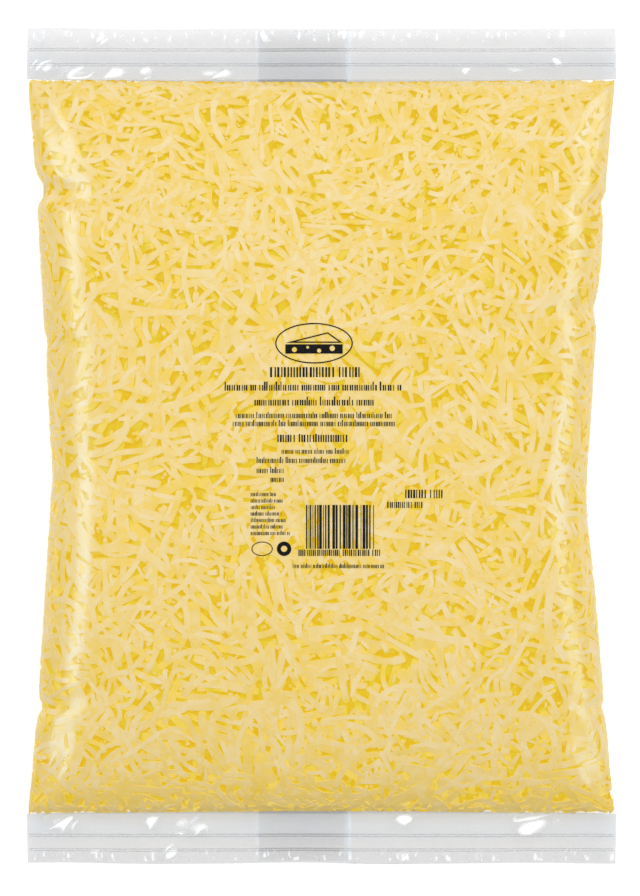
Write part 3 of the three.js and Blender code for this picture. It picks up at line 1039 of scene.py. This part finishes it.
def end_band(name, cut, keep_above):
    band = copy_of_bag(name)
    select_only(band)
    bpy.ops.object.mode_set(mode="EDIT")
    bpy.ops.mesh.select_all(action="SELECT")
    bpy.ops.mesh.bisect(
        plane_co=(0, cut * MM, 0),
        plane_no=(0, 1, 0),
        use_fill=True,
        clear_inner=keep_above,
        clear_outer=not keep_above,
    )
    bpy.ops.mesh.select_all(action="SELECT")
    bpy.ops.mesh.subdivide(number_cuts=3)
    bpy.ops.mesh.normals_make_consistent(inside=False)
    bpy.ops.object.mode_set(mode="OBJECT")
    bow_cut(band, cut, -1 if keep_above else 1)
    bpy.ops.object.shade_smooth_by_angle(angle=math.radians(BAND_EDGE))
    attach(band, "root")
    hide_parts(BAG)
    print(name, len(band.data.polygons))
    return band


top_band = end_band("top_band", FILL_TOP - BAND_OVERLAP, True)
bottom_band = end_band("bottom_band", FILL_BOTTOM + BAND_OVERLAP, False)

# %% Crinkles and painted glints on the bands
# Each band has glinting places, given by a middle and half sizes in millimetres. In them leaning
# folds, sharp on one side and soft on the other, are painted white, as painted glints where crinkled
# film would catch the light. Painted flecks of glint lie along the cut.
GLINT_PLACES = [
    (-134, 184, 9, 4), (-118, 180.5, 9, 4), (-100, 180, 8, 3.5), (-84, 180.5, 6, 3.5), (-50, 180, 11, 3),
    (-106, 197, 4, 4), (70, 181.5, 3, 2), (95, 182, 6, 2), (114, 186.5, 3, 3),
    (-126, -182.5, 10, 5), (-82, -182, 5, 4.5), (-64, -183.5, 11, 6), (-73, -197, 5, 5.5), (103, -184, 14, 8),
    (-110, -196, 3, 3), (40, -181, 5, 3),
]  # fmt: skip
FOLDS_EACH = 6  # that a slow wave of the film breaks into
FOLD_LEAN, FOLD_STRETCH = -0.96, 3  # radians, and how much longer than wide they are
FOLD_SHARE, WHITE_FROM, WHITE_TO = 0.9, 0.85, 1.55  # a fold is painted white, as a glint, in a glinting place only
STREAKS, FLECKS = 0.05, 0.8  # how milky the streaks are, and how white the painted flecks of glint
MOST_MILKY = 0.9
CRINKLE = 0.15
# glow of a band's milky part, which paints the glints white
BAND_GLINT = 0.16


def from_middle(film):
    return film.add("SeparateXYZ", {}, {"Vector": film.place()}, output=1).math("ABSOLUTE") * (1 / MM)


# where the painted shade of the bag darkens a band: close to the cheese, fading towards the cut
def painted_shade_by_cheese(film):
    return 1 - from_middle(film).step(high[1] - 17, high[1] - 9)


def in_glint_place(film):
    """1 in the middle of a glinting place, and 0 outside them all."""
    nearest = None
    for x, y, half_width, half_height in GLINT_PLACES:
        scale = (1 / (half_width * MM), 1 / (half_height * MM), 0)
        moved = {"Location": (-x / half_width, -y / half_height, 0), "Scale": scale}
        offset = film.add("Mapping", {}, {"Vector": film.place(), **moved})
        away = film.add("VectorMath", {"operation": "LENGTH"}, {0: offset}, output="Value")
        nearest = away.math("MINIMUM", nearest) if nearest else away
    return 1 - nearest.step(0.2, 1.2)


def band_haze_and_glints(film):
    leaning = {"Rotation": (0, 0, FOLD_LEAN), "Scale": (1, FOLD_STRETCH, 1)}
    lie = film.add("Mapping", {"vector_type": "TEXTURE"}, {"Vector": film.place(), **leaning})
    folds = (film.noise(lie, scale=85, detail=1) * FOLDS_EACH).math("FRACT") ** 2
    # painted glints: folds painted white in the glinting places
    white = (in_glint_place(film) + folds * FOLD_SHARE).step(WHITE_FROM, WHITE_TO)
    streaks = film.noise(film.stretched((0.04, 1, 1)), scale=500)
    # painted flecks of glint along the cut
    flecks = film.noise(film.stretched((1, 0.35, 1)), scale=420, detail=1).step(0.62, 0.66)
    out = from_middle(film)
    at_cut = out.step(high[1] - 8, high[1] - 4) * (1 - out.step(high[1] - 2, high[1] - 1))
    return (streaks * STREAKS + white + flecks * at_cut * FLECKS).math("MINIMUM", MOST_MILKY)


# Each band with its edge by the cheese, the way to the cheese, and how clear it is there and beyond.
# Film greys what lies behind it a little. Close to the bag it is darker: painted shade, as the bag
# shades the table. The bottom band is also darker beyond than the top one: painted shade of the end
# that lies away from the key light.
BANDS = [
    (top_band, FILL_TOP, -1, (0.832, 0.843, 0.858, 1), 0.883),
    (bottom_band, FILL_BOTTOM, 1, (0.84, 0.852, 0.866, 1), 0.867),
]
for band, edge, towards_cheese, shade_near_cheese, beyond in BANDS:
    shade = painted_shade_by_cheese, shade_near_cheese
    finish = film_finish("film_of_" + band.name, band_haze_and_glints, CRINKLE, beyond, BAND_GLINT, shade=shade)
    band.data.materials.append(finish)
    weld(band, edge, towards_cheese, FILL_BOW + 1)

# %% [markdown]
# ## Seal lines and the folded seam
# The jaws that seal each band leave fine pairs of ridges across it. On the back the film's two long
# edges are lapped and sealed into a strip, which shows through the clear bands. Both are thin sheets
# laid on the surface of the bag by rays and then given a thickness.


# %% Lay a flat piece on the bag
def surface_level(x, y, from_above):
    """Height of the CAD surface at a place, met from above or from below."""
    start, direction = (ABOVE, -1) if from_above else (BELOW, 1)
    hit = cad_surface.ray_cast((x, y, start), (0, 0, direction))[0]
    return hit.z if hit else None


def thicken(piece, thickness):
    modifier = piece.modifiers.new("thickness", "SOLIDIFY")
    modifier.thickness, modifier.offset = thickness * MM, 1
    apply_modifiers(piece)


def strip(name, box, cuts, height, thickness):
    """A strip over box, its points at height(x, y)."""
    x0, x1, y0, y1 = box
    bpy.ops.mesh.primitive_grid_add(x_subdivisions=cuts[0], y_subdivisions=cuts[1], size=1)
    piece = bpy.context.object
    piece.name = name
    points = points_of(piece) * MM + 0.5
    x, y = x0 + (x1 - x0) * points[:, 0], y0 + (y1 - y0) * points[:, 1]
    laid_points = np.stack([x, y, [height(a, b) for a, b in zip(x, y)]], axis=1)
    piece.data.vertices.foreach_set("co", (laid_points * MM).ravel())
    piece.data.update()
    thicken(piece, thickness)
    return piece


def join(name, parts):
    deselect_all()
    for part in parts:
        part.select_set(True)
    bpy.context.view_layer.objects.active = parts[0]
    bpy.ops.object.join()
    parts[0].name = name
    return parts[0]


cad_copy = copy_of_bag("cad_copy")
cad_surface = surface_of(cad_copy)
bpy.data.objects.remove(cad_copy)

# %% The seal lines
LINE_WIDTH, LINE_GAP, LINE_HEIGHT = 0.42, 1.0, 0.16
LINE_REACH = high[0] - 0.9
LINE_SINK = 0.04  # into the band


def seal_line(y, from_above):
    sink = -LINE_SINK if from_above else LINE_SINK - LINE_HEIGHT
    return strip(
        "seal_line",
        (-LINE_REACH, LINE_REACH, y - LINE_WIDTH / 2, y + LINE_WIDTH / 2),
        (150, 1),
        lambda x, _: surface_level(x, y, from_above) + sink,
        LINE_HEIGHT,
    )


line_places = [rib + side * LINE_GAP / 2 for rib in RIBS for side in (-1, 1)]
seal_lines = join("seal_lines", [seal_line(y, above) for y in line_places for above in (True, False)])
print("seal lines:", len(line_places), "faces:", len(seal_lines.data.polygons))

# %% The folded seam
SEAM_SHEET = 0.12
SEAM_ROOM = 0.02  # inside the CAD surface
SEAM_LIFT, LIFT_REACH = 0.3, 3  # it rises between the layers of the bands, over its last way to them
SEAM_SIDE, SEAM_END = 0.2, 1.2  # by which it stays inside the CAD seam


def seam_height(x, y):
    beyond = max(y - FILL_TOP, FILL_BOTTOM - y)
    lift = SEAM_LIFT * min(max(beyond + LIFT_REACH, 0) / LIFT_REACH, 1)
    return surface_level(x, y, False) + SEAM_ROOM + lift


back_seam = strip(
    "back_seam",
    (SEAM_LEFT + SEAM_SIDE, SEAM_RIGHT - SEAM_SIDE, low[1] + SEAM_END, high[1] - SEAM_END),
    (24, 240),
    seam_height,
    SEAM_SHEET,
)
seam_finish = film_finish("folded_film", haze_and_glints=0.02, crinkle=0.2, clearness=0.997)
line_finish = film_finish("pressed_film", haze_and_glints=0.2, crinkle=0.1, clearness=0.94)
for piece, finish in ((back_seam, seam_finish), (seal_lines, line_finish)):
    piece.data.materials.append(finish)
    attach(piece, "root")
    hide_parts(BAG)
print("seam faces:", len(back_seam.data.polygons))

# %% [markdown]
# ## Printing
# Such bags are printed in black straight on the film. This one carries a wedge of cheese in an oval,
# rows of plain strokes, random bars, a ring and a disc. Each shape is cut flat, laid on the film with
# rays and given the thickness of ink. Strokes and bars are copies of one small rectangle.

# %% Where the printing goes, in millimetres on the crown
PIXEL_ON_CROWN = 0.47  # the same picture's pixel, 34 mm nearer to the camera
PICTURE_MIDDLE = (320, 448)


def printed(px, py):
    """A place on the crown from a place in the picture."""
    x = CAMERA_PLACE[0] + (px - PICTURE_MIDDLE[0]) * PIXEL_ON_CROWN
    return x, CAMERA_PLACE[1] - (py - PICTURE_MIDDLE[1]) * PIXEL_ON_CROWN


# Left, right and middle of each row of strokes in the picture, the height of its tall strokes in mm
# and the share of it that the other strokes have
TYPE_LINES = [
    (271, 357, 372, 4.7, 1),
    (225, 404, 386, 4.2, 0.64),
    (255, 375, 401, 4.2, 0.64),
    (236, 393, 415, 3.0, 0.7),
    (233, 394, 423, 3.0, 0.7),
    (278, 350, 438, 3.8, 0.9),
    (282, 348, 451, 2.6, 0.7),
    (257, 347, 460, 2.9, 0.7),
    (257, 286, 470, 2.9, 0.7),
    (271, 286, 479, 2.9, 0.7),
    (299, 381, 553, 3.0, 1),
    (293, 386, 566, 2.3, 0.7),
    (406, 447, 494, 4.0, 1),
    (388, 425, 505, 2.9, 1),
]
SMALL_RIGHTS = (277, 283, 276, 281, 287, 284, 290)  # right ends of the rows of the small block
SMALL_LEFT, SMALL_FIRST, SMALL_PITCH = 251, 494, 6.5
SMALL_HEIGHT, SMALL_SHARE = 2.1, 0.72
BAR_BLOCK = (306, 374, 505, 549)
RING_PLACE, DISC_PLACE = (262, 549), (284, 549)
WEDGE_PLACE = (314, 343)

film_top = surface_of(film_tube)
INK_CLEARANCE, INK_THICKNESS = 0.05, 0.03


def lay_on_film(piece):
    points = points_of(piece)
    for point in points:
        hit = film_top.ray_cast((point[0], point[1], ABOVE), (0, 0, -1))[0]
        point[2] = hit.z + INK_CLEARANCE
    piece.data.vertices.foreach_set("co", (points * MM).ravel())
    piece.data.update()
    thicken(piece, INK_THICKNESS)
    return piece


def flat_boxes(name, boxes, cuts=1):
    """Flat rectangles, copied from one plane that is cut across cuts times."""
    bpy.ops.mesh.primitive_grid_add(x_subdivisions=1, y_subdivisions=cuts, size=1)
    plane = bpy.context.object
    unit = points_of(plane) * MM
    faces = [tuple(face.vertices) for face in plane.data.polygons]
    bpy.data.objects.remove(plane)
    boxes = np.array(boxes)  # middle x, middle y, width, height
    points = np.zeros((len(boxes), len(unit), 3))
    points[:, :, 0] = boxes[:, :1] + unit[:, 0] * boxes[:, 2:3]
    points[:, :, 1] = boxes[:, 1:2] + unit[:, 1] * boxes[:, 3:4]
    every = [tuple(v + copy * len(unit) for v in face) for copy in range(len(boxes)) for face in faces]
    return mesh_piece(name, points.reshape(-1, 3), every)


# %% Rows of strokes
# Widths and gaps are shares of the pitch, which follows from the height of the lower strokes
STROKE, STROKE_GAP, GROUP_GAP = 0.16, 0.3, 0.34
CLUSTERS = [(0, 0.4), (0, 0.34), (0,), (0, 0.42), (0, 0.3, 0.6), (0, 0.36)]  # places of strokes
type_rng = np.random.default_rng(seed=7)


def strokes(left, right, middle, height, low_share):
    """A row of strokes, in groups of two to nine small clusters."""
    x, y = printed(left, middle)
    end = printed(right, middle)[0]
    pitch = height * min(low_share + 0.15, 1)
    boxes, left_in_group = [], 0
    while x < end - pitch * STROKE_GAP:
        if left_in_group == 0:
            left_in_group = type_rng.integers(2, 10)
            x += pitch * GROUP_GAP if boxes else 0
        cluster = CLUSTERS[type_rng.integers(len(CLUSTERS))]
        tall = type_rng.choice([low_share] * 4 + [1.0])
        for step in cluster:
            body = height * (tall if step == 0 else low_share)
            width = pitch * STROKE * type_rng.uniform(0.7, 1.4)
            boxes.append((x + step * pitch, y - height / 2 + body / 2, width, body))
        x += pitch * (cluster[-1] + STROKE_GAP)
        left_in_group -= 1
    return boxes


type_boxes = [box for line in TYPE_LINES for box in strokes(*line)]
for number, right in enumerate(SMALL_RIGHTS):
    middle = SMALL_FIRST + number * SMALL_PITCH
    type_boxes += strokes(SMALL_LEFT, right, middle, SMALL_HEIGHT, SMALL_SHARE)
type_rows = lay_on_film(flat_boxes("type_rows", type_boxes))
print("strokes:", len(type_boxes))

# %% Random bars
bar_left, bar_top = printed(BAR_BLOCK[0], BAR_BLOCK[2])
bar_right, bar_bottom = printed(BAR_BLOCK[1], BAR_BLOCK[3])
BAR_UNIT = 0.31
BAR_CUTS = 14  # across each bar, so that it bends with the film
bar_boxes, x = [], bar_left
while x < bar_right - BAR_UNIT:
    width = BAR_UNIT * type_rng.choice([1, 1, 2, 3, 4])
    bar_boxes.append((x + width / 2, (bar_top + bar_bottom) / 2, width, bar_top - bar_bottom))
    x += width + BAR_UNIT * type_rng.choice([1, 2, 2, 3, 4])
bars = lay_on_film(flat_boxes("bars", bar_boxes, BAR_CUTS))
print("bars:", len(bar_boxes))

# %% The wedge of cheese, the ring and the disc
CUT_EVERY = 2.4  # flat shapes are cut this small, so that they bend with the film


def ellipse(x, y, across, up, points=40):
    turn = np.linspace(0, 2 * np.pi, points, endpoint=False)
    return [(x + across * math.cos(t), y + up * math.sin(t)) for t in turn]


def flat_shape(name, loops):
    """A filled flat shape from closed outlines, where an outline inside another is a hole."""
    curve = bpy.data.curves.new(name, "CURVE")
    curve.dimensions, curve.fill_mode = "2D", "BOTH"
    for loop in loops:
        spline = curve.splines.new("POLY")
        spline.points.add(len(loop) - 1)
        spline.use_cyclic_u = True
        for point, (x, y) in zip(spline.points, loop):
            point.co = (x * MM, y * MM, 0, 1)
    shape = bpy.data.objects.new(name, curve)
    bpy.context.scene.collection.objects.link(shape)
    select_only(shape)
    bpy.ops.object.convert(target="MESH")
    shape = bpy.context.object
    points = points_of(shape)
    bpy.ops.object.mode_set(mode="EDIT")
    bpy.ops.mesh.select_all(action="SELECT")
    bpy.ops.mesh.remove_doubles(threshold=0.001 * MM)
    for axis, normal in ((0, (1, 0, 0)), (1, (0, 1, 0))):
        for cut in np.arange(points[:, axis].min() + CUT_EVERY, points[:, axis].max(), CUT_EVERY):
            bpy.ops.mesh.select_all(action="SELECT")
            bpy.ops.mesh.bisect(plane_co=tuple(cut * MM * np.array(normal)), plane_no=normal)
    bpy.ops.object.mode_set(mode="OBJECT")
    return shape


def about(place, loops):
    x, y = printed(*place)
    return [[(x + a, y + b) for a, b in loop] for loop in loops]


def inset(loop, by):
    """A smaller copy of a convex outline, its sides moved in."""
    points = np.array(loop)
    sides = np.roll(points, -1, axis=0) - points
    inwards = np.stack([-sides[:, 1], sides[:, 0]], axis=1) / np.linalg.norm(sides, axis=1)[:, None]
    before = np.roll(inwards, 1, axis=0)
    reach = by / (1 + (inwards * before).sum(axis=1))
    return (points + (inwards + before) * reach[:, None]).tolist()


LINE = 0.6  # width of the drawn lines
FRAME = (18.3, 9.6)  # half sizes of the oval
WEDGE_SIDE = [(-13.5, -4.9), (13.5, -4.9), (13.5, -0.5), (-13.5, -0.5)]
WEDGE_TOP = [(-13.5, 0.2), (13.5, 0.2), (6.5, 5.2)]
HOLES = [(-9.2, -3.0, 1.2, 1.2), (-3.0, -1.9, 0.7, 0.7), (2.4, -3.5, 1.0, 1.0), (8.6, -2.4, 1.3, 1.3)]
wedge_loops = [ellipse(0, 0, *FRAME, 64), ellipse(0, 0, FRAME[0] - LINE, FRAME[1] - LINE, 64)]
wedge_loops += [WEDGE_SIDE, WEDGE_TOP, inset(WEDGE_TOP, LINE)] + [ellipse(*hole, 20) for hole in HOLES]
wedge_mark = lay_on_film(flat_shape("wedge_mark", about(WEDGE_PLACE, wedge_loops)))
RING_LOOPS = [ellipse(0, 0, 5.0, 3.4), ellipse(0, 0, 4.6, 3.0)]
DISC_LOOPS = [ellipse(0, 0, 3.4, 3.4), ellipse(0, 0, 1.5, 1.5)]
ring = flat_shape("ring", about(RING_PLACE, RING_LOOPS))
disc = flat_shape("disc", about(DISC_PLACE, DISC_LOOPS))
small_marks = lay_on_film(join("small_marks", [ring, disc]))
print("small marks:", len(RING_LOOPS) + len(DISC_LOOPS), "outlines")

# %% The finish of the ink
FULL_INK, WORN_INK = (0.005, 0.005, 0.005, 1), (0.02, 0.017, 0.012, 1)
ink = Finish("black_ink")
ink_wear = ink.noise(ink.place(), scale=1500)
ink_surface = ink.add(
    "BsdfPrincipled",
    inputs={
        "Base Color": ink.mixed(ink_wear.step(0.45, 0.7), FULL_INK, WORN_INK),
        "Roughness": ink_wear * 0.2 + 0.4,
        "Specular IOR Level": 0.1,
        "Normal": ink.bump(ink_wear, strength=0.1, distance=0.0001),
    },
)
ink_finish = ink.finished(ink_surface)
for piece in (type_rows, bars, wedge_mark, small_marks):
    piece.data.materials.append(ink_finish)
    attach(piece, "root")
    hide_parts(BAG)
    print(piece.name, "faces:", len(piece.data.polygons))
